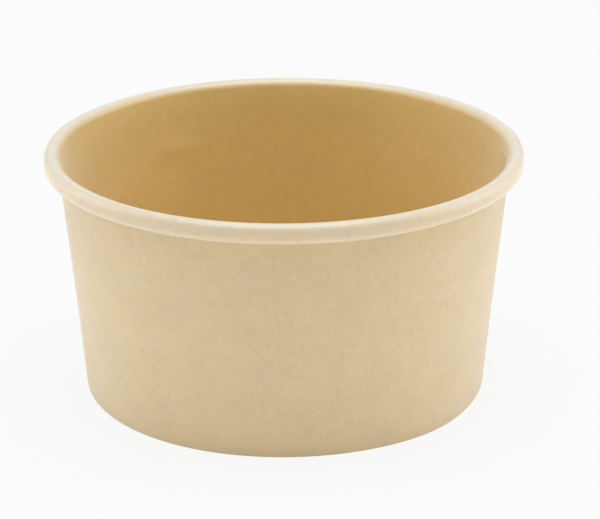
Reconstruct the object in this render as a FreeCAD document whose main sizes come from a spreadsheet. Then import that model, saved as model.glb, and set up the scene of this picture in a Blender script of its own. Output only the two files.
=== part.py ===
import FreeCAD, Part
import math
import os

import Sketcher

# Paper ice cream tub, in millimetres, +Z up, standing on the plane z = 0 with its axis on Z.
# Two pieces of paperboard. The side wall is one blank, wrapped and lapped in a seam: its top edge is
# rolled outwards into the rim, and its foot is folded inwards and up. The bottom disc is drawn down
# at its edge into a skirt, which is held in that fold.

SIZES = {
    "rim_diameter": 87.0,        # across the outside of the rolled rim
    "tub_height": 45.0,          # foot to the top of the rim
    "base_diameter": 74.0,       # across the outside of the foot
    "wall_sheet": 0.4,           # thickness of the side wall's paperboard
    "disc_sheet": 0.35,          # thickness of the bottom disc's paperboard
    "curl_width": 2.8,           # rolled rim, from the inside of the tub to its outermost line
    "curl_height": 3.65,         # rolled rim, from its top to its lowest line
    "lid_land": 0.5,             # upright stretch of the rim's outer side, which a lid grips
    "tuck_radius": 0.25,         # inside radius where the rim's free edge turns up
    "tuck_length": 0.6,          # straight end of the rim's free edge
    "tuck_gap": 0.15,            # rim's free edge to the outside of the wall
    "foot_press": 0.06,          # how far the fold is pressed flat where the tub stands
    "disc_recess": 5.6,          # underside of the bottom disc above the foot
    "disc_bend": 0.9,            # outside radius where the disc turns down into its skirt
    "hem_drop": 0.1,             # free edge of the foot's inner fold below the start of that bend
    "skirt_rise": 0.5,           # lower edge of the skirt above the centre of the fold
    "seal_gap": 0.03,            # skirt to the wall, and skirt to the hem
    "seam_turn": 4.0,            # degrees from +X to the inner flap's edge
    "lap_width": 8.0,            # overlap of the two flaps, measured at the foot
    "lap_ramp": 1.5,             # length in which the outer flap climbs onto the inner one
    "lap_foot": 0.8,             # lower end of the outer flap's step, above the foot
    "lap_drop": 0.3,             # upper end of the outer flap's step, below the rim
    "groove_inset": 0.6,         # ends of the inner flap's step, above the disc and below the rim
}

UP = FreeCAD.Vector(0, 0, 1)
HALF_TURN = math.pi


def polar(centre, radius, direction):
    return centre + FreeCAD.Vector(math.cos(direction), math.sin(direction), 0) * radius


class Section:
    """The tub's section in the half plane of radius and height, worked out from the sizes.

    The sketches start from these points, and their constraints then tie them to the spreadsheet.
    """

    def __init__(self, s):
        rim = s["rim_diameter"] / 2
        # the fold, which wraps the skirt
        self.skirt = s["disc_sheet"] / 2
        self.fold_inner = self.skirt + s["seal_gap"]
        self.fold_outer = self.fold_inner + s["wall_sheet"]
        fold_across = s["base_diameter"] / 2 - self.fold_outer
        self.fold = FreeCAD.Vector(fold_across, self.fold_outer - s["foot_press"], 0)
        self.bend_height = s["disc_recess"] + s["disc_sheet"] - s["disc_bend"]
        # the roll's upper half, and the straight run of the wall between it and the fold
        self.top_radius = s["curl_width"] / 2
        self.top = FreeCAD.Vector(rim - self.top_radius, s["tub_height"] - self.top_radius, 0)
        run = self.top - self.fold
        self.lean = math.atan2(run.x, run.y) - math.asin((self.top_radius + self.fold_inner) / run.Length)
        self.along = FreeCAD.Vector(math.sin(self.lean), math.cos(self.lean), 0)
        self.out = FreeCAD.Vector(math.cos(self.lean), -math.sin(self.lean), 0)
        # the tuck beside the wall, and the lower arc that joins it to the roll's upright side
        self.tuck_outer = s["tuck_radius"] + s["wall_sheet"]
        tuck_height = s["tub_height"] - s["curl_height"] + self.tuck_outer
        tuck_across = self.radius_at(tuck_height, self.fold_outer + s["tuck_gap"] + self.tuck_outer)
        self.tuck = FreeCAD.Vector(tuck_across, tuck_height, 0)
        width = rim - tuck_across - self.tuck_outer
        drop = self.top.y - s["lid_land"] - tuck_height
        self.low_radius = (width ** 2 + drop ** 2) / (2 * width) + self.tuck_outer
        self.low = FreeCAD.Vector(rim - self.low_radius, tuck_height + drop, 0)
        self.tuck_start = math.atan2(self.tuck.y - self.low.y, self.tuck.x - self.low.x)

    def radius_at(self, height, off):
        """Radius at a height of a line that runs beside the wall, off the middle of the fold."""
        return self.fold.x + (off + (height - self.fold.y) * self.along.x) / self.along.y


# Expressions that several sketches share
FOLD_INNER = "(Sizes.disc_sheet / 2 + Sizes.seal_gap)"
FOLD_OUTER = f"({FOLD_INNER} + Sizes.wall_sheet)"
FOLD_ACROSS = f"(Sizes.base_diameter / 2 - {FOLD_OUTER})"
FOLD_HEIGHT = f"({FOLD_OUTER} - Sizes.foot_press)"
LEAN = "wall_section.Constraints.lean"
RIM_LOW = "(Sizes.tub_height - Sizes.curl_height)"
TUCK_OUTER = "(Sizes.tuck_radius + Sizes.wall_sheet)"
BEND_HEIGHT = "(Sizes.disc_recess + Sizes.disc_sheet - Sizes.disc_bend)"


def radius_rule(height, off):
    """The expression for Section.radius_at."""
    return f"({FOLD_ACROSS} + ({off} + ({height} - {FOLD_HEIGHT}) * sin({LEAN})) / cos({LEAN}))"


def turn_rule(length):
    """The expression for the degrees that a length spans round the foot."""
    return f"({length} * 360 / (pi * Sizes.base_diameter))"


class Outline:
    """A closed outline of lines and arcs in a sketch, each joined to the next."""

    def __init__(self, sketch):
        self.sketch = sketch
        self.names = []
        self.number = {}
        self.ends = {}

    def keep(self, name, shape, head, tail):
        self.names.append(name)
        self.number[name] = self.sketch.addGeometry(shape, False)
        self.ends[name] = (head, tail)

    def line(self, name, start, end):
        self.keep(name, Part.LineSegment(start, end), 1, 2)

    def arc(self, name, centre, radius, start, end):
        """An arc from one direction to another, turning left where the second is the larger."""
        circle = Part.Circle(centre, UP, radius)
        if end > start:
            self.keep(name, Part.ArcOfCircle(circle, start, end), 1, 2)
        else:
            self.keep(name, Part.ArcOfCircle(circle, end, start), 2, 1)

    def head(self, name):
        return self.number[name], self.ends[name][0]

    def tail(self, name):
        return self.number[name], self.ends[name][1]

    def rule(self, kind, *parts):
        return self.sketch.addConstraint(Sketcher.Constraint(kind, *parts))

    def close(self, corners):
        """Joins each item to the next one smoothly, or at a corner after the items named."""
        for name, following in zip(self.names, self.names[1:] + self.names[:1]):
            self.rule("Coincident" if name in corners else "Tangent", *self.tail(name), *self.head(following))

    def relate(self, kind, *names):
        self.rule(kind, *(self.number[name] for name in names))

    def same_centre(self, first, second):
        self.rule("Coincident", self.number[first], 3, self.number[second], 3)

    def bind(self, label, expression, kind, *parts):
        """A dimension tied to the spreadsheet."""
        number = self.rule(kind, *parts)
        self.sketch.renameConstraint(number, label)
        self.sketch.setExpression(f"Constraints.{label}", expression)

    def measure(self, label, kind, *parts):
        """A dimension that is read from the sketch and drives nothing in it."""
        number = self.rule(kind, *parts)
        self.sketch.renameConstraint(number, label)
        self.sketch.setDriving(number, False)

    def bind_radius(self, name, value, expression):
        self.bind(f"{name}_radius", expression, "Radius", self.number[name], value)

    def bind_point(self, label, point, at, across, height):
        self.bind(f"{label}_across", across, "DistanceX", -1, 1, *point, at.x)
        self.bind(f"{label}_height", height, "DistanceY", -1, 1, *point, at.y)


def new_spreadsheet(doc):
    sheet = doc.addObject("Spreadsheet::Sheet", "Sizes")
    for row, (alias, value) in enumerate(SIZES.items(), start=1):
        sheet.set(f"A{row}", alias)
        sheet.set(f"B{row}", str(value))
        sheet.setAlias(f"B{row}", alias)
    doc.recompute()


def new_body(doc, label):
    body = doc.addObject("PartDesign::Body", label)
    body.Label = label
    return body


def new_sketch(body, name, plane):
    sketch = body.newObject("Sketcher::SketchObject", name)
    support = next(feature for feature in body.Origin.OriginFeatures if feature.Role == plane)
    sketch.AttachmentSupport = [(support, "")]
    sketch.MapMode = "FlatFace"
    return sketch


def revolve(body, sketch, name):
    turned = body.newObject("PartDesign::Revolution", name)
    turned.Profile = sketch
    turned.ReferenceAxis = (sketch, ["V_Axis"])
    turned.Angle = 360
    sketch.Visibility = False


def draw_wall(body, s, sec):
    """One sheet of constant thickness: hem, fold, wall, and the rim rolled outwards and tucked in."""
    o = Outline(new_sketch(body, "wall_section", "XZ_Plane"))
    out, along = sec.out, sec.along
    wallward = -sec.lean
    discward = HALF_TURN - sec.lean
    press = math.asin(sec.fold.y / sec.fold_outer)
    hem_run = along * ((sec.bend_height - s["hem_drop"] - sec.fold.y + sec.fold_inner * out.y) / along.y)
    hem_in = sec.fold - out * sec.fold_outer
    hem_out = sec.fold - out * sec.fold_inner
    top_inner = sec.top_radius - s["wall_sheet"]
    low_inner = sec.low_radius - s["wall_sheet"]
    tuck_in = sec.tuck - out * s["tuck_radius"]
    tuck_back = sec.tuck - out * sec.tuck_outer
    tuck_run = along * s["tuck_length"]
    tuck_end = discward - 2 * HALF_TURN

    o.line("hem_face", hem_in + hem_run, hem_in)
    o.arc("foot_inside", sec.fold, sec.fold_outer, discward, HALF_TURN + press)
    flat_from = polar(sec.fold, sec.fold_outer, HALF_TURN + press)
    o.line("foot_flat", flat_from, polar(sec.fold, sec.fold_outer, -press))
    o.arc("foot_outside", sec.fold, sec.fold_outer, -press, wallward)
    o.line("wall_face", sec.fold + out * sec.fold_outer, sec.top - out * top_inner)
    o.arc("top_inner", sec.top, top_inner, discward, 0)
    o.line("side_inner", polar(sec.top, top_inner, 0), polar(sec.low, low_inner, 0))
    o.arc("low_inner", sec.low, low_inner, 0, sec.tuck_start)
    o.arc("tuck_inner", sec.tuck, s["tuck_radius"], sec.tuck_start, tuck_end)
    o.line("tuck_face", tuck_in, tuck_in + tuck_run)
    o.line("tuck_edge", tuck_in + tuck_run, tuck_back + tuck_run)
    o.line("tuck_back", tuck_back + tuck_run, tuck_back)
    o.arc("tuck_outer", sec.tuck, sec.tuck_outer, tuck_end, sec.tuck_start)
    o.arc("low_outer", sec.low, sec.low_radius, sec.tuck_start, 0)
    o.line("side_outer", polar(sec.low, sec.low_radius, 0), polar(sec.top, sec.top_radius, 0))
    o.arc("top_outer", sec.top, sec.top_radius, 0, discward)
    o.line("wall_back", sec.top - out * sec.top_radius, sec.fold + out * sec.fold_inner)
    o.arc("fold_inner", sec.fold, sec.fold_inner, wallward, wallward - HALF_TURN)
    o.line("hem_back", hem_out, hem_out + hem_run)
    o.line("hem_edge", hem_out + hem_run, hem_in + hem_run)
    o.close({"foot_inside", "foot_flat", "tuck_face", "tuck_edge", "hem_back", "hem_edge"})

    for first, second in (("foot_inside", "fold_inner"), ("foot_outside", "fold_inner"),
                          ("top_inner", "top_outer"), ("low_inner", "low_outer"),
                          ("tuck_inner", "tuck_outer")):
        o.same_centre(first, second)
    o.relate("Parallel", "hem_face", "wall_face")
    o.relate("Parallel", "hem_back", "wall_back")
    o.relate("Parallel", "tuck_face", "wall_face")
    o.relate("Parallel", "tuck_back", "wall_face")
    o.relate("Perpendicular", "hem_edge", "hem_back")
    o.relate("Perpendicular", "tuck_edge", "tuck_back")
    o.relate("Vertical", "side_outer")
    o.relate("Horizontal", "foot_flat")
    o.rule("PointOnObject", *o.head("foot_flat"), -1)

    o.bind_radius("fold_inner", sec.fold_inner, FOLD_INNER)
    o.bind_radius("foot_inside", sec.fold_outer, FOLD_OUTER)
    o.bind_radius("foot_outside", sec.fold_outer, FOLD_OUTER)
    o.bind_radius("top_outer", sec.top_radius, "Sizes.curl_width / 2")
    o.bind_radius("top_inner", top_inner, "Sizes.curl_width / 2 - Sizes.wall_sheet")
    o.bind_radius("tuck_inner", s["tuck_radius"], "Sizes.tuck_radius")
    o.bind_radius("tuck_outer", sec.tuck_outer, TUCK_OUTER)
    o.bind_point("fold", (o.number["fold_inner"], 3), sec.fold, FOLD_ACROSS, FOLD_HEIGHT)
    o.bind_point("top", (o.number["top_outer"], 3), sec.top,
                 "(Sizes.rim_diameter - Sizes.curl_width) / 2", "Sizes.tub_height - Sizes.curl_width / 2")
    o.bind("land_length", "Sizes.lid_land", "Distance", o.number["side_outer"], s["lid_land"])
    o.bind("hem_up", f"{BEND_HEIGHT} - Sizes.hem_drop",
           "DistanceY", -1, 1, *o.tail("hem_back"), sec.bend_height - s["hem_drop"])
    o.bind("tuck_run", "Sizes.tuck_length", "Distance", o.number["tuck_back"], s["tuck_length"])
    o.bind("tuck_off_wall", "Sizes.tuck_gap",
           "Distance", *o.tail("tuck_back"), o.number["wall_face"], s["tuck_gap"])
    o.bind("tuck_height", f"{RIM_LOW} + {TUCK_OUTER}", "DistanceY", -1, 1, o.number["tuck_outer"], 3,
           sec.tuck.y)
    o.measure("lean", "Angle", o.number["wall_face"], 1, -2, 1, sec.lean)
    return o.sketch


def draw_disc(body, s, sec):
    """The bottom disc's section: flat floor, bend, and a skirt that leans with the wall."""
    o = Outline(new_sketch(body, "disc_section", "XZ_Plane"))
    top = s["disc_recess"] + s["disc_sheet"]
    bend = FreeCAD.Vector(sec.radius_at(sec.bend_height, sec.skirt - s["disc_bend"]), sec.bend_height, 0)
    bend_inner = s["disc_bend"] - s["disc_sheet"]
    wallward = -sec.lean
    edge_outer = sec.fold + sec.along * s["skirt_rise"] + sec.out * sec.skirt
    edge_inner = edge_outer - sec.out * s["disc_sheet"]

    o.line("floor_top", FreeCAD.Vector(0, top, 0), polar(bend, s["disc_bend"], HALF_TURN / 2))
    o.arc("bend_outer", bend, s["disc_bend"], HALF_TURN / 2, wallward)
    o.line("skirt_outer", polar(bend, s["disc_bend"], wallward), edge_outer)
    o.line("skirt_edge", edge_outer, edge_inner)
    o.line("skirt_inner", edge_inner, polar(bend, bend_inner, wallward))
    o.arc("bend_inner", bend, bend_inner, wallward, HALF_TURN / 2)
    o.line("floor_under", polar(bend, bend_inner, HALF_TURN / 2), FreeCAD.Vector(0, s["disc_recess"], 0))
    o.line("axis", FreeCAD.Vector(0, s["disc_recess"], 0), FreeCAD.Vector(0, top, 0))
    o.close({"skirt_outer", "skirt_edge", "floor_under", "axis"})

    o.same_centre("bend_inner", "bend_outer")
    o.relate("Horizontal", "floor_top")
    o.relate("Horizontal", "floor_under")
    o.relate("Vertical", "axis")
    o.rule("PointOnObject", *o.head("axis"), -2)
    o.relate("Parallel", "skirt_inner", "skirt_outer")
    o.relate("Perpendicular", "skirt_edge", "skirt_outer")

    o.bind_radius("bend_outer", s["disc_bend"], "Sizes.disc_bend")
    o.bind_radius("bend_inner", bend_inner, "Sizes.disc_bend - Sizes.disc_sheet")
    o.bind("recess", "Sizes.disc_recess", "DistanceY", -1, 1, *o.head("axis"), s["disc_recess"])
    o.bind("skirt_lean", LEAN, "Angle", *o.tail("skirt_outer"), -2, 1, sec.lean)
    skirt = "Sizes.disc_sheet / 2"
    o.bind_point("edge", o.head("skirt_edge"), edge_outer,
                 f"{FOLD_ACROSS} + {skirt} * cos({LEAN}) + Sizes.skirt_rise * sin({LEAN})",
                 f"{FOLD_HEIGHT} - {skirt} * sin({LEAN}) + Sizes.skirt_rise * cos({LEAN})")
    return o.sketch


def draw_step(body, name, s, sec, level, face, core, lap):
    """The seam's step at one height: a ramp one sheet high, then the flap's cut edge.

    level is the height, face the line beside the wall that the ramp starts from, and core the line
    that the step reaches back to, each as a value and its expression. With a lap, the step runs on
    round the wall before the cut edge.
    """
    o = Outline(new_sketch(body, name, "XY_Plane"))
    o.sketch.AttachmentOffset = FreeCAD.Placement(UP * level[0], FreeCAD.Rotation())
    o.sketch.setExpression("AttachmentOffset.Base.z", level[1])
    centre = FreeCAD.Vector()
    sheet = s["wall_sheet"]
    toe_turn = math.radians(s["seam_turn"]) - s["lap_ramp"] * 2 / s["base_diameter"]
    crest_turn = math.radians(s["seam_turn"])
    edge_turn = crest_turn + lap * 2 / s["base_diameter"]
    face_radius = sec.radius_at(level[0], face[0])
    core_radius = sec.radius_at(level[0], core[0])
    crest_radius = face_radius + sheet
    face_rule = radius_rule(level[1], face[1])
    core_rule = radius_rule(level[1], core[1])
    toe_rule = f"Sizes.seam_turn - {turn_rule('Sizes.lap_ramp')}"

    o.line("toe", polar(centre, core_radius, toe_turn), polar(centre, face_radius, toe_turn))
    o.line("ramp", polar(centre, face_radius, toe_turn), polar(centre, crest_radius, crest_turn))
    if lap:
        o.arc("crest", centre, crest_radius, crest_turn, edge_turn)
    o.line("cut_edge", polar(centre, crest_radius, edge_turn), polar(centre, core_radius, edge_turn))
    o.arc("core", centre, core_radius, edge_turn, toe_turn)
    o.close(set(o.names))

    for radial in ("toe", "cut_edge"):
        o.rule("PointOnObject", -1, 1, o.number[radial])
    o.rule("Coincident", o.number["core"], 3, -1, 1)
    o.bind_radius("core", core_radius, core_rule)
    o.bind("toe_turn", toe_rule, "Angle", -1, 1, *o.head("toe"), toe_turn)
    o.bind("toe_radius", face_rule, "Distance", -1, 1, *o.tail("toe"), face_radius)
    edge_rule = "Sizes.seam_turn"
    if lap:
        edge_rule = f"Sizes.seam_turn + {turn_rule('Sizes.lap_width')}"
        guide = o.sketch.addGeometry(Part.LineSegment(centre, polar(centre, crest_radius, crest_turn)), True)
        o.rule("Coincident", guide, 1, -1, 1)
        o.rule("Coincident", guide, 2, *o.head("crest"))
        o.rule("Coincident", o.number["crest"], 3, -1, 1)
        o.bind("crest_turn", "Sizes.seam_turn", "Angle", -1, 1, guide, 1, crest_turn)
        o.bind_radius("crest", crest_radius, f"{face_rule} + Sizes.wall_sheet")
    else:
        o.bind("crest_radius", f"{face_rule} + Sizes.wall_sheet",
               "Distance", -1, 1, *o.head("cut_edge"), crest_radius)
    o.bind("edge_turn", edge_rule, "Angle", -1, 1, *o.tail("cut_edge"), edge_turn)
    return o.sketch


def loft(body, kind, name, lower, upper):
    feature = body.newObject(kind, name)
    feature.Profile = lower
    feature.Sections = [upper]
    feature.Ruled = True
    for sketch in (lower, upper):
        sketch.Visibility = False


def build_side_wall(doc, s, sec):
    body = new_body(doc, "side_wall")
    revolve(body, draw_wall(body, s, sec), "rolled_sheet")

    # the outer flap lies on the inner one, so outside it stands out by one sheet
    outer_face = (sec.fold_outer, FOLD_OUTER)
    mid_sheet = (sec.fold_outer - s["wall_sheet"] / 2, f"({FOLD_OUTER} - Sizes.wall_sheet / 2)")
    rim_low = s["tub_height"] - s["curl_height"]
    lap_ends = {"lap_low": (s["lap_foot"], "Sizes.lap_foot"),
                "lap_high": (rim_low - s["lap_drop"], f"({RIM_LOW} - Sizes.lap_drop)")}
    lap = [draw_step(body, name, s, sec, level, outer_face, mid_sheet, s["lap_width"])
           for name, level in lap_ends.items()]
    loft(body, "PartDesign::AdditiveLoft", "outer_flap", *lap)

    # inside, the outer flap climbs away from the tub up to the inner flap's cut edge
    inner_face = (sec.fold_inner, FOLD_INNER)
    clear_of_wall = (sec.fold_inner - s["wall_sheet"], f"({FOLD_INNER} - Sizes.wall_sheet)")
    inset = s["groove_inset"]
    groove_ends = {"groove_low": (s["disc_recess"] + s["disc_sheet"] + inset,
                                  "(Sizes.disc_recess + Sizes.disc_sheet + Sizes.groove_inset)"),
                   "groove_high": (rim_low - s["lap_drop"] - inset,
                                   f"({RIM_LOW} - Sizes.lap_drop - Sizes.groove_inset)")}
    groove = [draw_step(body, name, s, sec, level, inner_face, clear_of_wall, 0)
              for name, level in groove_ends.items()]
    loft(body, "PartDesign::SubtractiveLoft", "inner_step", *groove)
    return body


def build_bottom_disc(doc, s, sec):
    body = new_body(doc, "bottom_disc")
    revolve(body, draw_disc(body, s, sec), "drawn_disc")
    return body


def check(doc, bodies):
    """Stops if anything in the document failed, or a piece isn't one whole solid."""
    for item in doc.Objects:
        if "Invalid" in item.State or "Error" in item.State:
            raise RuntimeError(f"{item.Name} did not recompute: {item.State}")
        if item.isDerivedFrom("Sketcher::SketchObject") and not item.FullyConstrained:
            raise RuntimeError(f"{item.Name} is not fully constrained")
    for body in bodies:
        if body.Shape.isNull() or not body.Shape.isValid() or len(body.Shape.Solids) != 1:
            raise RuntimeError(f"{body.Label} is not one valid solid")


def main():
    doc = FreeCAD.newDocument("paper_tub")
    new_spreadsheet(doc)
    section = Section(SIZES)
    bodies = [build(doc, SIZES, section) for build in (build_side_wall, build_bottom_disc)]
    doc.recompute()
    check(doc, bodies)
    os.makedirs("parts", exist_ok=True)
    for body in bodies:
        box = body.Shape.optimalBoundingBox()
        size = f"{box.XLength:.2f} mm across, {box.ZLength:.2f} mm high"
        print(f"{body.Label}: {body.Shape.Volume:.1f} mm3, {size}")
        body.Shape.exportStep(f"parts/{body.Label}.step")


main()
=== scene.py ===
import math
import bpy
import bmesh
from mathutils import Matrix, Vector, noise


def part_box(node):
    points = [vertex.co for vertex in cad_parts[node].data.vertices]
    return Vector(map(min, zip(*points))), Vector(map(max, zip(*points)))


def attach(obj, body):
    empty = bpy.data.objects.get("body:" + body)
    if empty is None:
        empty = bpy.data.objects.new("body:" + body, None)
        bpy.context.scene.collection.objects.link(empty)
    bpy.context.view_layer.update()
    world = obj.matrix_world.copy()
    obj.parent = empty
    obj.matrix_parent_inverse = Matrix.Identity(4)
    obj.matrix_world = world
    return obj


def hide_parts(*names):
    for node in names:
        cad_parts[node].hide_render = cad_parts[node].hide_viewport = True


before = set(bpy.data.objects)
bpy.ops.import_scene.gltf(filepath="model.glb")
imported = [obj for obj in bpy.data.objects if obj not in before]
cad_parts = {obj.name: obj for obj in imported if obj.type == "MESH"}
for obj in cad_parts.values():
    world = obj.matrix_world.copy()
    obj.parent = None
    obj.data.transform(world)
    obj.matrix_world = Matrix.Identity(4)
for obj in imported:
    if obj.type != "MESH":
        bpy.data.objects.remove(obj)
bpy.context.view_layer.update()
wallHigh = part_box("side_wall")[1]
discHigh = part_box("bottom_disc")[1]

# Paper ice cream tub: a rolled side wall and a bottom disc, in metres, z up, standing on z = 0
mm = 0.001

# Camera, from the rim, wall edges and foot as they lie in the photograph
view = {
    "elevation": 20.98,         # degrees
    "distance": 430.0 * mm,
    "focalPixels": 2328.0,      # focal length in pixels of the frame below
    "frameWidth": 600,
    "frameHeight": 519,
    "aimX": 284.65,             # pixel that the tub's mid height on its axis falls on
    "aimY": 260.15,
    "roll": -0.323,             # degrees
}


def addCamera():
    camera = bpy.data.objects.new("camera", bpy.data.cameras.new("camera"))
    bpy.context.scene.collection.objects.link(camera)
    camera.data.sensor_width = 36
    camera.data.lens = view["focalPixels"] / view["frameWidth"] * camera.data.sensor_width
    camera.data.clip_start = 0.01
    camera.data.clip_end = 20
    elevation = math.radians(view["elevation"])
    yaw = math.atan((view["aimX"] - view["frameWidth"] / 2) / view["focalPixels"])
    pitch = math.atan((view["aimY"] - view["frameHeight"] / 2) / view["focalPixels"])
    raised = Matrix.Rotation(math.pi / 2 - elevation, 3, "X")
    rolled = Matrix.Rotation(math.radians(view["roll"]), 3, "Z")
    aimed = Matrix.Rotation(yaw, 3, "Y") @ Matrix.Rotation(pitch, 3, "X")
    camera.rotation_euler = (raised @ rolled @ aimed).to_euler()
    back = Vector((0, -math.cos(elevation), math.sin(elevation)))
    camera.location = Vector((0, 0, wallHigh.z / 2)) + back * view["distance"]
    bpy.context.scene.camera = camera


addCamera()
print("camera placed")

# Board: the tub is cut and rolled from one sheet, its disc from a thinner one
tub = {
    "rimRadius": wallHigh.y,
    "height": wallHigh.z,
    "footRadius": 37.0 * mm,
    "sheet": 0.4 * mm,
    "curlWidth": 2.8 * mm,
    "curlHeight": 3.65 * mm,
    "lidLand": 0.5 * mm,        # upright part of the roll's outer face
    "tuckRadius": 0.25 * mm,
    "tuckLength": 0.6 * mm,
    "tuckGap": 0.15 * mm,       # between the tucked edge and the wall
    "footPress": 0.06 * mm,     # how much the fold is pressed flat on the table
    "hemHeight": 4.95 * mm,
    "foldRadius": 0.205 * mm,   # inside of the fold that grips the disc's skirt
    "aroundSteps": 352,         # columns round the tub, before the finer ones beside the seam
    "hemRows": 6,
    "foldRows": 12,
    "wallRows": 36,
    "neckRows": 8,              # rows between the flap's top and the roll
    "topRows": 18,
    "lowRows": 12,
    "tuckRows": 8,
}
weld = 0.001 * mm               # points closer than this are one

# Side seam: the sheet's end laps its start on the outside and closes into one sheet below the roll
seam = {
    "turn": 4.0,                # degrees from +X to the inner flap's edge
    "fineTurn": 4.0,            # degrees of finer columns before that edge
    "fineSteps": 8,
    "ramp": 3.0 * mm,           # along which the outer flap climbs onto the inner one
    "lap": 8.0 * mm,
    "lapSteps": 12,
    "glue": 0.01 * mm,
    "neck": 2.59 * mm,          # from the flap's top to the roll
    "fade": 0.9 * mm,           # of that, where the lap closes into one sheet
    "footLevel": 0.15,          # share of a sheet that the lap stands proud under the fold
    "footEase": 2.0 * mm,       # to either side of the fold, where it comes back to a full sheet
    # share of the sheet left in the inner flap's first columns, which are pared thin on the inside
    "skived": (0.12, 0.3, 0.48, 0.64, 0.8, 0.92),
    "bump": 0.10 * mm,          # thicker roll over the lap
    "bumpEdge": 1.2,            # degrees
}

# Unevenness of a tub rolled from board: soft corners, a wavy wall and lip, one dent in the back
wear = {
    "rightCorners": 0.14 * mm,  # how far the outline swells between the four sides
    "leftCorners": 0.04 * mm,
    "footRight": 0.34 * mm,     # the same at the foot, which fades out up to footFade
    "footLeft": 0.14 * mm,
    "footFade": 12.0 * mm,
    "footShift": Vector((-0.02, -0.12, 0)) * mm,
    "wallFrom": 3.0 * mm,       # the wall's own wear comes in above this height
    "wallDraw": 0.10 * mm,      # the wall is drawn in a little, most under the roll
    "neckDraw": 0.13 * mm,
    "neckFade": 4.0 * mm,
    "wallWave": 0.05 * mm,
    "wallWaves": 3.1,           # the waves' fineness round the tub
    "wallRise": 45.0,           # and up the wall, per metre
    "rollFrom": 1.5 * mm,       # along the sheet, from the wall's wear to the roll's
    "lipWave": 0.07 * mm,
    "lipWaves": 9.0,
    "lipSag": 0.10 * mm,
    "lipSags": 13.0,
    "lipKinks": 0.05 * mm,
    "lipKinksRound": 46.0,
    "lipFade": 2.0 * mm,
    "dentTurn": 122.7,          # degrees from +X
    "dentHeight": 33.2 * mm,
    "dentWide": 4.2 * mm,
    "dentTall": 1.8 * mm,
    "dentPush": 0.30 * mm,
}


def smooth(t):
    t = min(max(t, 0.0), 1.0)
    return t * t * (3 - 2 * t)


# Section of the sheet's middle line, in the plane y = 0
def wallSection():
    s = dict(tub)
    foldOuter = s["foldRadius"] + s["sheet"]
    s["fold"] = Vector((s["footRadius"] - foldOuter, 0, foldOuter - s["footPress"]))
    s["topRadius"] = s["curlWidth"] / 2
    s["top"] = Vector((s["rimRadius"] - s["topRadius"], 0, s["height"] - s["topRadius"]))
    run = s["top"] - s["fold"]
    s["lean"] = math.atan2(run.x, run.z) - math.asin((s["topRadius"] + s["foldRadius"]) / run.length)
    s["along"] = Vector((math.sin(s["lean"]), 0, math.cos(s["lean"])))
    s["out"] = Vector((math.cos(s["lean"]), 0, -math.sin(s["lean"])))
    tuckOuter = s["tuckRadius"] + s["sheet"]
    tuckHeight = s["height"] - s["curlHeight"] + tuckOuter
    offWall = foldOuter + s["tuckGap"] + tuckOuter
    tuckAcross = s["fold"].x + (offWall + (tuckHeight - s["fold"].z) * s["along"].x) / s["along"].z
    s["tuck"] = Vector((tuckAcross, 0, tuckHeight))
    width = s["rimRadius"] - tuckAcross - tuckOuter
    drop = s["top"].z - s["lidLand"] - tuckHeight
    s["lowRadius"] = (width ** 2 + drop ** 2) / (2 * width) + tuckOuter
    s["low"] = Vector((s["rimRadius"] - s["lowRadius"], 0, tuckHeight + drop))
    s["tuckStart"] = -math.atan2(s["tuck"].z - s["low"].z, s["tuck"].x - s["low"].x)
    # lengths along the sheet, from the hem's cut edge to where each part ends
    s["hemEnd"] = (s["hemHeight"] - s["fold"].z) / s["along"].z
    s["foldEnd"] = s["hemEnd"] + math.pi * (s["foldRadius"] + s["sheet"] / 2)
    s["wallEnd"] = s["foldEnd"] + run.dot(s["along"])
    s["sideEnd"] = s["wallEnd"] + (math.pi - s["lean"]) * (s["topRadius"] - s["sheet"] / 2) + s["lidLand"]
    return s


section = wallSection()


# Drawing with bmesh: each call starts at the tip and returns the new tip
def drawLine(bm, tip, move, steps=1):
    for _ in range(steps):
        tip = bmesh.ops.extrude_vert_indiv(bm, verts=[tip])["verts"][0]
        tip.co += move / steps
    return tip


def drawArc(bm, tip, centre, turn, steps):
    spun = bmesh.ops.spin(bm, geom=[tip], cent=centre, axis=(0, 1, 0), angle=turn, steps=steps)
    return [item for item in spun["geom_last"] if isinstance(item, bmesh.types.BMVert)][0]


def walkPath(start):
    path = [start]
    while True:
        nexts = [e.other_vert(path[-1]) for e in path[-1].link_edges]
        nexts = [v for v in nexts if v not in path[-2:-1]]
        if not nexts:
            return path
        path.append(nexts[0])


# Where board is out of round, by the same amount in both pieces
def outOfRound(at):
    turn = math.atan2(at.y, at.x)
    corner = math.sin(2 * turn) ** 2
    low = 1 - smooth(at.z / wear["footFade"])
    if at.x > 0:
        size = wear["rightCorners"] * corner + wear["footRight"] * low * corner ** 3
    else:
        size = wear["leftCorners"] * corner + wear["footLeft"] * low * corner
    return Vector((math.cos(turn), math.sin(turn), 0)) * size + wear["footShift"] * low


# How far the outer flap stands off the inner one at each place along the section, as a share of the sheet
def flapLevel(length):
    if length < section["foldEnd"]:
        fromFoot = abs(length - (section["hemEnd"] + section["foldEnd"]) / 2) / seam["footEase"]
        return seam["footLevel"] + (1 - seam["footLevel"]) * smooth(fromFoot)
    return 1 - smooth((length - section["wallEnd"] + seam["neck"]) / seam["fade"])


# Uneven value from 0 to 1 round the tub: more waves are finer, and start picks another run of them
def unevenRound(ring, waves, start):
    return 0.5 + 0.5 * noise.noise(ring * waves + Vector(start))


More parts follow.
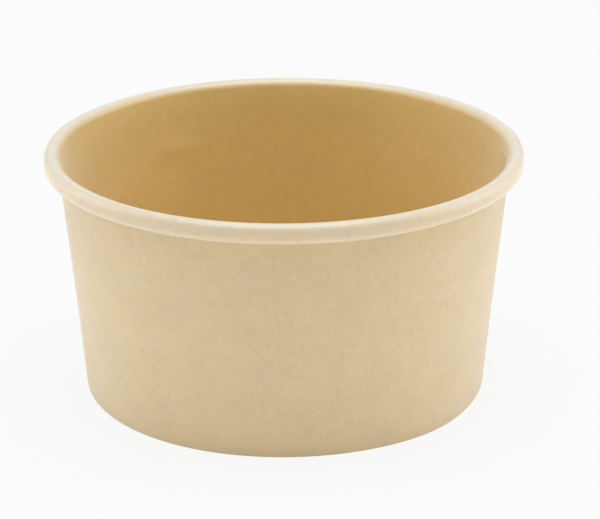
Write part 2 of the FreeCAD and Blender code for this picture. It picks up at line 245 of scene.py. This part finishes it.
# How a point of the wall's middle line is moved by wear: turnHere is degrees past the lap's start,
# and length is measured along the sheet
def wallWear(at, turnHere, length):
    turn = math.atan2(at.y, at.x)
    ring = Vector((math.cos(turn), math.sin(turn), 0))
    rise = smooth((at.z - wear["wallFrom"]) / wear["footFade"])
    wavePlace = ring * wear["wallWaves"] + Vector((0, 0, at.z * wear["wallRise"]))
    push = wear["wallWave"] * noise.noise(wavePlace) * rise
    onRoll = smooth((length - section["wallEnd"]) / wear["rollFrom"])
    neck = math.exp(-((at.z - tub["height"] + tub["curlHeight"]) / wear["neckFade"]) ** 2)
    push -= (wear["wallDraw"] * rise + wear["neckDraw"] * neck) * (1 - onRoll)
    push -= wear["lipWave"] * unevenRound(ring, wear["lipWaves"], (3, 0, 0)) * onRoll
    lapTurn = math.degrees(seam["lap"] / tub["footRadius"])
    overLap = smooth(turnHere / seam["bumpEdge"]) * smooth((lapTurn - turnHere) / seam["bumpEdge"])
    push += seam["bump"] * overLap * onRoll
    dentAcross = (math.degrees(turn) - wear["dentTurn"]) * math.radians(1) * math.hypot(at.x, at.y)
    dentUp = at.z - wear["dentHeight"]
    dent = math.exp(-(dentAcross / wear["dentWide"]) ** 2 - (dentUp / wear["dentTall"]) ** 2)
    push -= wear["dentPush"] * dent * (1 - onRoll)
    underside = smooth((length - section["sideEnd"]) / wear["lipFade"])
    sag = wear["lipSag"] * unevenRound(ring, wear["lipSags"], (0, 7, 0))
    kinks = wear["lipKinks"] * noise.noise(ring * wear["lipKinksRound"] + Vector((0, 0, 5)))
    lift = (sag + max(kinks, 0)) * underside
    return ring * push + Vector((0, 0, lift)) + outOfRound(at)


# Gives the drawn sheet its thickness, less where it is pared: its face gets the first material, its back the
# second and its cut edges the third
def applyThickness(piece, thickness, pared):
    full = piece.vertex_groups.new(name="full")
    full.add(range(len(piece.data.vertices)), 1.0, "REPLACE")
    for index, share in pared.items():
        full.add([index], share, "REPLACE")
    board = piece.modifiers.new("board", "SOLIDIFY")
    board.vertex_group = full.name
    board.thickness = thickness
    board.offset = 0
    board.use_even_offset = True
    board.use_quality_normals = True
    board.material_offset = 1
    board.material_offset_rim = 2
    depsgraph = bpy.context.evaluated_depsgraph_get()
    solid = bpy.data.meshes.new_from_object(piece.evaluated_get(depsgraph))
    piece.modifiers.clear()
    piece.vertex_groups.clear()
    piece.data = solid
    solid.shade_smooth()
    solid.set_sharp_from_angle(angle=math.radians(40))


# Turns all faces the same way before the board gets its thickness: the one nearest to probe looks outward
def faceOutwards(bm, probe, outward):
    bmesh.ops.recalc_face_normals(bm, faces=bm.faces)
    nearest = min(bm.faces, key=lambda face: (face.calc_center_median() - probe).length)
    if nearest.normal.dot(outward) < 0:
        bmesh.ops.reverse_faces(bm, faces=bm.faces)


def newPiece(name, bm, thickness, materials, pared=()):
    bm.verts.index_update()
    pared = {v.index: share for v, share in pared}
    mesh = bpy.data.meshes.new(name)
    bm.to_mesh(mesh)
    bm.free()
    piece = bpy.data.objects.new(name, mesh)
    bpy.context.scene.collection.objects.link(piece)
    for material in materials:
        mesh.materials.append(material)
    applyThickness(piece, thickness, pared)
    return piece


# The side wall: hem, fold, wall and roll drawn as the sheet's middle line, then spun past a full turn
def sideWall(materials):
    s = section
    half = s["sheet"] / 2
    wallRun = s["wallEnd"] - s["foldEnd"]
    bm = bmesh.new()
    rowOf = bm.verts.layers.int.new("row")
    start = bm.verts.new(s["fold"] - s["out"] * (s["foldRadius"] + half) + s["along"] * s["hemEnd"])
    hemFoot = drawLine(bm, start, -s["along"] * s["hemEnd"], s["hemRows"])
    wallFoot = drawArc(bm, hemFoot, s["fold"], -math.pi, s["foldRows"])
    neck = drawLine(bm, wallFoot, s["along"] * (wallRun - seam["neck"]), s["wallRows"])
    wallTop = drawLine(bm, neck, s["along"] * seam["neck"], s["neckRows"])
    side = drawArc(bm, wallTop, s["top"], math.pi - s["lean"], s["topRows"])
    low = drawLine(bm, side, Vector((0, 0, -s["lidLand"])))
    tuckFoot = drawArc(bm, low, s["low"], s["tuckStart"], s["lowRows"])
    tuckUp = drawArc(bm, tuckFoot, s["tuck"], math.pi + s["lean"] - s["tuckStart"], s["tuckRows"])
    drawLine(bm, tuckUp, s["along"] * s["tuckLength"])

    # a row for each point along the section, and later a column for each step round the tub
    path = walkPath(start)
    rows = len(path)
    lengths = [0.0]
    for a, b in zip(path, path[1:]):
        lengths.append(lengths[-1] + (b.co - a.co).length)
    levels = [flapLevel(length) for length in lengths]
    neckRow = path.index(neck)
    outwards = []
    for i in range(rows):
        run = (path[min(i + 1, rows - 1)].co - path[max(i - 1, 0)].co).normalized()
        outwards.append(Vector((run.z, 0, -run.x)))
    for i, v in enumerate(path):
        v[rowOf] = i

    lapTurn = math.degrees(seam["lap"] / s["footRadius"])
    toSeam = Matrix.Rotation(math.radians(seam["turn"]), 3, "Z")
    bmesh.ops.rotate(bm, verts=bm.verts, cent=(0, 0, 0), matrix=toSeam)
    runs = [(360 - seam["fineTurn"], s["aroundSteps"]), (seam["fineTurn"], seam["fineSteps"]),
            (lapTurn, seam["lapSteps"])]
    turns = [0.0]
    last = bm.verts[:] + bm.edges[:]
    for degrees, steps in runs:
        spun = bmesh.ops.spin(bm, geom=last, cent=(0, 0, 0), axis=(0, 0, 1),
                              angle=math.radians(degrees), steps=steps)
        last = spun["geom_last"]
        base = turns[-1]
        turns += [base + degrees * (i + 1) / steps for i in range(steps)]
    bm.verts.index_update()
    uv = bm.loops.layers.uv.new("boardMap")
    for face in bm.faces:
        for loop in face.loops:
            column = loop.vert.index // rows
            loop[uv].uv = (math.radians(turns[column]) * s["footRadius"], lengths[loop.vert[rowOf]])

    rampTurn = math.degrees(seam["ramp"] / s["footRadius"])
    meetColumn = s["aroundSteps"] + seam["fineSteps"]
    cells = {(v.index // rows, v[rowOf]): v for v in bm.verts}
    pared = []
    for (column, row), v in cells.items():
        turn = math.radians(seam["turn"] + turns[column])
        climb = min(max((turns[column] - 360 + rampTurn) / rampTurn, 0), 1)
        lift = climb * levels[row] * (s["sheet"] + seam["glue"])
        out = outwards[row]
        turnHere = turns[column] if turns[column] < 180 else turns[column] - 360
        v.co += wallWear(v.co, turnHere, lengths[row])
        if column < len(seam["skived"]):
            left = seam["skived"][column]
            if row <= neckRow:
                share = left + (1 - left) * (1 - levels[row])
                lift += (1 - share) * half
                pared.append((v, share))
            else:
                lift += levels[row] * (s["sheet"] + seam["glue"]) * (1 - left if column else 1)
        v.co += Vector((out.x * math.cos(turn), out.x * math.sin(turn), out.z)) * lift
        # the fold is pressed flat where the tub stands, its inner flap on the outer one
        v.co.z = max(v.co.z, half + (seam["footLevel"] * s["sheet"] if turns[column] < lapTurn else 0))
    # above the flap's top the sheet's two ends are welded into one, and what is past them goes
    spare = [v for (column, row), v in cells.items() if column > meetColumn and row > neckRow]
    ends = [cells[column, row] for column in (0, meetColumn) for row in range(neckRow + 1, rows)]
    bmesh.ops.remove_doubles(bm, verts=ends, dist=weld)
    bmesh.ops.delete(bm, geom=spare, context="VERTS")
    faceOutwards(bm, Vector((0, -39 * mm, 25 * mm)), Vector((0, -1, 0)))
    return newPiece("rolledWall", bm, s["sheet"], materials, pared)


# The bottom disc: flat floor, drawn down at its edge into the skirt
disc = {
    "sheet": 0.35 * mm,
    "bend": 0.9 * mm,
    "skirtRise": 0.5 * mm,      # from the fold's middle to the skirt's edge
    "aroundSteps": 240,
    "floorRows": 14,
    "bendRows": 10,
    "skirtRows": 3,
}


def bottomDisc(materials):
    s = section
    half = disc["sheet"] / 2
    bendHeight = discHigh.z - disc["bend"]
    offWall = half - disc["bend"]
    bendAcross = s["fold"].x + (offWall + (bendHeight - s["fold"].z) * s["along"].x) / s["along"].z
    bend = Vector((bendAcross, 0, bendHeight))
    skirtRun = (bend - s["fold"]).dot(s["along"]) - disc["skirtRise"]
    bm = bmesh.new()
    middle = bm.verts.new((0, 0, discHigh.z - half))
    edge = drawLine(bm, middle, Vector((bendAcross, 0, 0)), disc["floorRows"])
    skirt = drawArc(bm, edge, bend, math.pi / 2 + s["lean"], disc["bendRows"])
    drawLine(bm, skirt, -s["along"] * skirtRun, disc["skirtRows"])
    bmesh.ops.spin(bm, geom=bm.verts[:] + bm.edges[:], cent=(0, 0, 0), axis=(0, 0, 1),
                   angle=math.radians(360), steps=disc["aroundSteps"], use_merge=True)
    bmesh.ops.remove_doubles(bm, verts=bm.verts, dist=weld)
    for v in bm.verts:
        v.co += outOfRound(v.co) * smooth(v.co.xy.length / s["footRadius"])
    faceOutwards(bm, Vector((0, 0, discHigh.z)), Vector((0, 0, -1)))
    uv = bm.loops.layers.uv.new("boardMap")
    for face in bm.faces:
        for loop in face.loops:
            loop[uv].uv = loop.vert.co.xy
    return newPiece("bottomDisc", bm, disc["sheet"], materials)


# Node helpers: an input is given by its name, or as in0 or in1 by its place, and is a value or another
# node's output
def addNode(tree, kind, settings=None, **inputs):
    made = tree.nodes.new(kind)
    for name, value in (settings or {}).items():
        setattr(made, name, value)
    for name, value in inputs.items():
        socket = made.inputs[int(name[2:])] if name.startswith("in") else made.inputs[name.replace("_", " ")]
        if isinstance(value, bpy.types.NodeSocket):
            tree.links.new(value, socket)
        else:
            socket.default_value = value
    return made


def maths(tree, operation, a, b=0.0):
    return addNode(tree, "ShaderNodeMath", {"operation": operation}, in0=a, in1=b).outputs[0]


def remap(tree, value, low, high):
    settings = {"interpolation_type": "SMOOTHSTEP"}
    made = addNode(tree, "ShaderNodeMapRange", settings, Value=value, From_Min=low, From_Max=high)
    return made.outputs["Result"]


def mixColour(tree, factor, a, b, blend="MIX"):
    settings = {"data_type": "RGBA", "blend_type": blend}
    return addNode(tree, "ShaderNodeMix", settings, in0=factor, in6=a, in7=b).outputs[2]


def newGroup(name, inputs, outputs):
    tree = bpy.data.node_groups.new(name, "ShaderNodeTree")
    for socketName, kind in inputs.items():
        tree.interface.new_socket(name=socketName, in_out="INPUT", socket_type=kind)
    for socketName, kind in outputs.items():
        tree.interface.new_socket(name=socketName, in_out="OUTPUT", socket_type=kind)
    return tree, tree.nodes.new("NodeGroupInput").outputs, tree.nodes.new("NodeGroupOutput").inputs


# Clouded board: Shade and Colour are factors round 1, from soft patches and finer ones, in millimetres
def boardClouds():
    takes = {"Place": "NodeSocketVector", "Patch": "NodeSocketFloat", "Depth": "NodeSocketFloat",
             "Tint": "NodeSocketFloat"}
    gives = {"Shade": "NodeSocketFloat", "Colour": "NodeSocketColor"}
    tree, given, result = newGroup("boardClouds", takes, gives)
    place = given["Place"]
    wide = addNode(tree, "ShaderNodeTexNoise", Vector=place, Detail=3.0, Roughness=0.5,
                   Scale=maths(tree, "DIVIDE", 0.32, given["Patch"]))
    fine = addNode(tree, "ShaderNodeTexNoise", Vector=place, Detail=5.0, Roughness=0.62,
                   Scale=maths(tree, "DIVIDE", 1.5, given["Patch"]))
    both = maths(tree, "ADD", maths(tree, "MULTIPLY", wide.outputs[0], 0.8),
                 maths(tree, "MULTIPLY", fine.outputs[0], 1.2))
    cloudy = maths(tree, "MULTIPLY", maths(tree, "SUBTRACT", both, 1.0), given["Depth"])
    shade = maths(tree, "ADD", cloudy, 1.0)
    warm = addNode(tree, "ShaderNodeTexNoise", {"noise_dimensions": "4D"}, Vector=place, W=3.0, Detail=2.0,
                   Scale=maths(tree, "DIVIDE", 0.6, given["Patch"]))
    tint = maths(tree, "MULTIPLY", maths(tree, "SUBTRACT", warm.outputs[0], 0.5), given["Tint"])
    red = maths(tree, "MULTIPLY", shade, maths(tree, "ADD", maths(tree, "MULTIPLY", tint, 0.25), 1.0))
    blue = maths(tree, "MULTIPLY", shade, maths(tree, "SUBTRACT", 1.0, tint))
    colour = addNode(tree, "ShaderNodeCombineColor", Red=red, Green=shade, Blue=blue)
    tree.links.new(shade, result["Shade"])
    tree.links.new(colour.outputs[0], result["Colour"])
    return tree


# Fibres in the pulp: pale and dark flecks a fraction of a millimetre wide, and the height of the grain
def paperFibres():
    takes = {"Place": "NodeSocketVector", "Spacing": "NodeSocketFloat", "Share": "NodeSocketFloat"}
    gives = {"Pale": "NodeSocketFloat", "Dark": "NodeSocketFloat", "Height": "NodeSocketFloat"}
    tree, given, result = newGroup("paperFibres", takes, gives)
    swirl = addNode(tree, "ShaderNodeTexNoise", Vector=given["Place"], Scale=0.55, Detail=2.0)
    swirled = addNode(tree, "ShaderNodeVectorMath", {"operation": "MULTIPLY_ADD"}, in0=swirl.outputs["Color"],
                      in1=(1.4, 1.4, 0.0), in2=given["Place"])
    scale = maths(tree, "DIVIDE", 1.0, given["Spacing"])
    threshold = maths(tree, "SUBTRACT", 1.0, given["Share"])
    flecks = []
    for turn in (0.5, 2.1):     # two lays of fibres that cross
        laid = addNode(tree, "ShaderNodeMapping", Vector=swirled.outputs[0], Rotation=(0.0, 0.0, turn),
                       Scale=(1.0, 0.5, 1.0))
        cell = addNode(tree, "ShaderNodeTexVoronoi", {"voronoi_dimensions": "2D"}, Vector=laid.outputs[0],
                       Scale=scale)
        chance = addNode(tree, "ShaderNodeSeparateColor", Color=cell.outputs["Color"])
        inside = maths(tree, "SUBTRACT", 1.0, remap(tree, cell.outputs["Distance"], 0.0, 0.34))
        flecks.append((inside, chance))
    shown = {}
    for name, channel in (("Pale", 0), ("Dark", 1)):
        masks = []
        for inside, chance in flecks:
            picked = maths(tree, "GREATER_THAN", chance.outputs[channel], threshold)
            masks.append(maths(tree, "MULTIPLY", inside, picked))
        shown[name] = maths(tree, "MAXIMUM", masks[0], masks[1])
        tree.links.new(shown[name], result[name])
    grain = addNode(tree, "ShaderNodeTexNoise", Vector=given["Place"], Scale=3.4, Detail=4.0, Roughness=0.65)
    raised = maths(tree, "MULTIPLY", shown["Pale"], 0.25)
    tree.links.new(maths(tree, "ADD", grain.outputs[0], raised), result["Height"])
    return tree


clouds, fibres = boardClouds(), paperFibres()

# Finishes, as colours in linear light
kraft = {
    "colour": (0.770, 0.602, 0.350), "pale": (0.86, 0.74, 0.52), "dark": (0.50, 0.36, 0.20),
    "roughness": 0.68, "unevenRough": 0.08, "depth": 0.17, "patch": 2.2, "tint": 0.22,
    "spacing": 1.3, "share": 0.10, "paleStrength": 0.22, "darkStrength": 0.15,
    "grain": 0.02 * mm, "sheen": 0.6, "coat": 0.0, "coatRoughness": 0.3,
}
liner = dict(
    kraft, colour=(0.665, 0.470, 0.169), pale=(0.80, 0.62, 0.32), dark=(0.48, 0.30, 0.09),
    roughness=0.45, unevenRough=0.05, depth=0.13, patch=3.0, grain=0.012 * mm, sheen=0.5,
    coat=0.5, coatRoughness=0.26,
    # the same side of the board where it bends over the rim, down the roll's face and under its lip, in lit
    # copies of the coating's colour: the whiter crest is a painted highlight, the paler roll face is painted
    # light, and the paler band under the lip is painted light bounced up from the table, partly also the
    # coating stretched paler there; and where each of these comes in, in millimetres along the sheet from the
    # wall's end and the side's end
    crestHighlight=(0.645, 0.575, 0.43), rolled=(0.80, 0.64, 0.415), lipStretchAndBounce=(0.875, 0.685, 0.45),
    bentFrom=0.1, bentFull=1.1, rolledFrom=2.1, rolledFull=-0.5, lipFrom=-0.1, lipFull=1.3, rollWrinkle=2.0,
)
rawEdge = dict(kraft, colour=(0.80, 0.68, 0.50), roughness=0.9, sheen=0.0)


def boardMaterial(name, look):
    material = bpy.data.materials.new(name)
    material.use_nodes = True
    tree = material.node_tree
    shader = tree.nodes["Principled BSDF"]
    flat = addNode(tree, "ShaderNodeUVMap", {"uv_map": "boardMap"}).outputs[0]
    place = addNode(tree, "ShaderNodeVectorMath", {"operation": "SCALE"}, in0=flat, Scale=1 / mm).outputs[0]
    cloud = addNode(tree, "ShaderNodeGroup", {"node_tree": clouds}, Place=place, Patch=look["patch"],
                    Depth=look["depth"], Tint=look["tint"])
    fibre = addNode(tree, "ShaderNodeGroup", {"node_tree": fibres}, Place=place, Spacing=look["spacing"],
                    Share=look["share"])
    shade = cloud.outputs["Shade"]
    colour, height = (*look["colour"], 1), fibre.outputs["Height"]
    if "crestHighlight" in look:
        # the map's second number is the length along the sheet
        along = addNode(tree, "ShaderNodeSeparateXYZ", Vector=place).outputs["Y"]
        wallEnd, sideEnd = section["wallEnd"] / mm, section["sideEnd"] / mm
        onRoll = remap(tree, along, wallEnd + look["bentFrom"], wallEnd + look["bentFull"])
        downRoll = remap(tree, along, wallEnd + look["rolledFrom"], sideEnd + look["rolledFull"])
        underLip = remap(tree, along, sideEnd + look["lipFrom"], sideEnd + look["lipFull"])
        # paints the roll's lit look into its colour: a painted highlight on the crest, a paler roll face
        # where light falls, and painted light from the table under the lip
        for part, reached in (("crestHighlight", onRoll), ("rolled", downRoll), ("lipStretchAndBounce", underLip)):
            colour = mixColour(tree, reached, colour, (*look[part], 1))
        stretched = addNode(tree, "ShaderNodeMapping", Vector=place, Scale=(1.0, 0.12, 1.0))
        creases = addNode(tree, "ShaderNodeTexNoise", Vector=stretched.outputs[0], Scale=1.3, Detail=3.0)
        crease = maths(tree, "MULTIPLY", creases.outputs[0], onRoll)
        height = maths(tree, "ADD", height, maths(tree, "MULTIPLY", crease, look["rollWrinkle"]))
    for mask, fleck in (("Pale", "pale"), ("Dark", "dark")):
        strength = maths(tree, "MULTIPLY", fibre.outputs[mask], look[fleck + "Strength"])
        colour = mixColour(tree, strength, colour, (*look[fleck], 1))
    colour = mixColour(tree, 1.0, colour, cloud.outputs["Colour"], "MULTIPLY")
    tree.links.new(colour, shader.inputs["Base Color"])
    rough = maths(tree, "MULTIPLY", maths(tree, "SUBTRACT", shade, 1.0), look["unevenRough"] / look["depth"])
    tree.links.new(maths(tree, "ADD", rough, look["roughness"]), shader.inputs["Roughness"])
    bump = addNode(tree, "ShaderNodeBump", Distance=look["grain"], Height=height)
    tree.links.new(bump.outputs[0], shader.inputs["Normal"])
    shader.inputs["Sheen Weight"].default_value = look["sheen"]
    shader.inputs["Coat Weight"].default_value = look["coat"]
    shader.inputs["Coat Roughness"].default_value = look["coatRoughness"]
    return material


finishes = [boardMaterial("kraftOutside", kraft), boardMaterial("coatedInside", liner),
            boardMaterial("cutEdge", rawEdge)]
wall, base = sideWall(finishes), bottomDisc(finishes)
for piece, nodeName, slotName in ((wall, "side_wall", "wall_board"), (base, "bottom_disc", "base_board")):
    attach(piece, "root")
    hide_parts(nodeName)
print("pieces made", len(wall.data.polygons), len(base.data.polygons))

# Studio: white table and tent, soft light from above, the sides and behind
studio = {
    "white": 0.956,             # what the camera sees of table and tent
    "tent": 0.475,              # what the tent gives the tub
    "table": (0.9, 0.9, 0.9),
    "tableSeen": 0.92,          # share of the table's look that is plain white
    "lamps": {
        # place, size, watts
        "overhead": ((0, 0, 0.55), (0.5, 0.42), 2.13),
        "leftPanel": ((-0.6, 0.1, 0.3), (0.5, 0.5), 1.12),
        "rightPanel": ((0.6, 0.1, 0.3), (0.5, 0.5), 1.32),
        "backPanel": ((0, 0.7, 0.35), (0.7, 0.4), 0.26),
    },
}


def addLamps():
    for name, (place, size, power) in studio["lamps"].items():
        data = bpy.data.lights.new(name, "AREA")
        data.shape = "RECTANGLE"
        data.size, data.size_y = size
        data.energy = power
        lamp = bpy.data.objects.new(name, data)
        bpy.context.scene.collection.objects.link(lamp)
        lamp.location = place
        toTub = Vector((0, 0, tub["height"] / 2)) - Vector(place)
        lamp.rotation_euler = toTub.to_track_quat("-Z", "Y").to_euler()


def addTent():
    world = bpy.data.worlds.new("tent")
    bpy.context.scene.world = world
    world.use_nodes = True
    tree = world.node_tree
    seen = addNode(tree, "ShaderNodeLightPath").outputs["Is Camera Ray"]
    strength = addNode(tree, "ShaderNodeMix", {"data_type": "FLOAT"}, in0=seen, in2=studio["tent"],
                       in3=studio["white"])
    tree.links.new(strength.outputs[0], tree.nodes["Background"].inputs["Strength"])
    tree.nodes["Background"].inputs["Color"].default_value = (1, 1, 1, 1)


def addTable():
    bpy.ops.mesh.primitive_plane_add(size=8)
    table = bpy.context.object
    table.name = "table"
    material = bpy.data.materials.new("whiteTable")
    material.use_nodes = True
    tree = material.node_tree
    shader = tree.nodes["Principled BSDF"]
    shader.inputs["Base Color"].default_value = (*studio["table"], 1)
    shader.inputs["Roughness"].default_value = 0.9
    seen = addNode(tree, "ShaderNodeLightPath").outputs["Is Camera Ray"]
    glow = addNode(tree, "ShaderNodeEmission", Strength=studio["white"])
    look = addNode(tree, "ShaderNodeMixShader", in0=maths(tree, "MULTIPLY", seen, studio["tableSeen"]),
                   in1=shader.outputs[0], in2=glow.outputs[0])
    tree.links.new(look.outputs[0], tree.nodes["Material Output"].inputs["Surface"])
    table.data.materials.append(material)


addLamps()
addTent()
addTable()
bpy.context.scene.view_settings.view_transform = "Standard"
print("studio set")
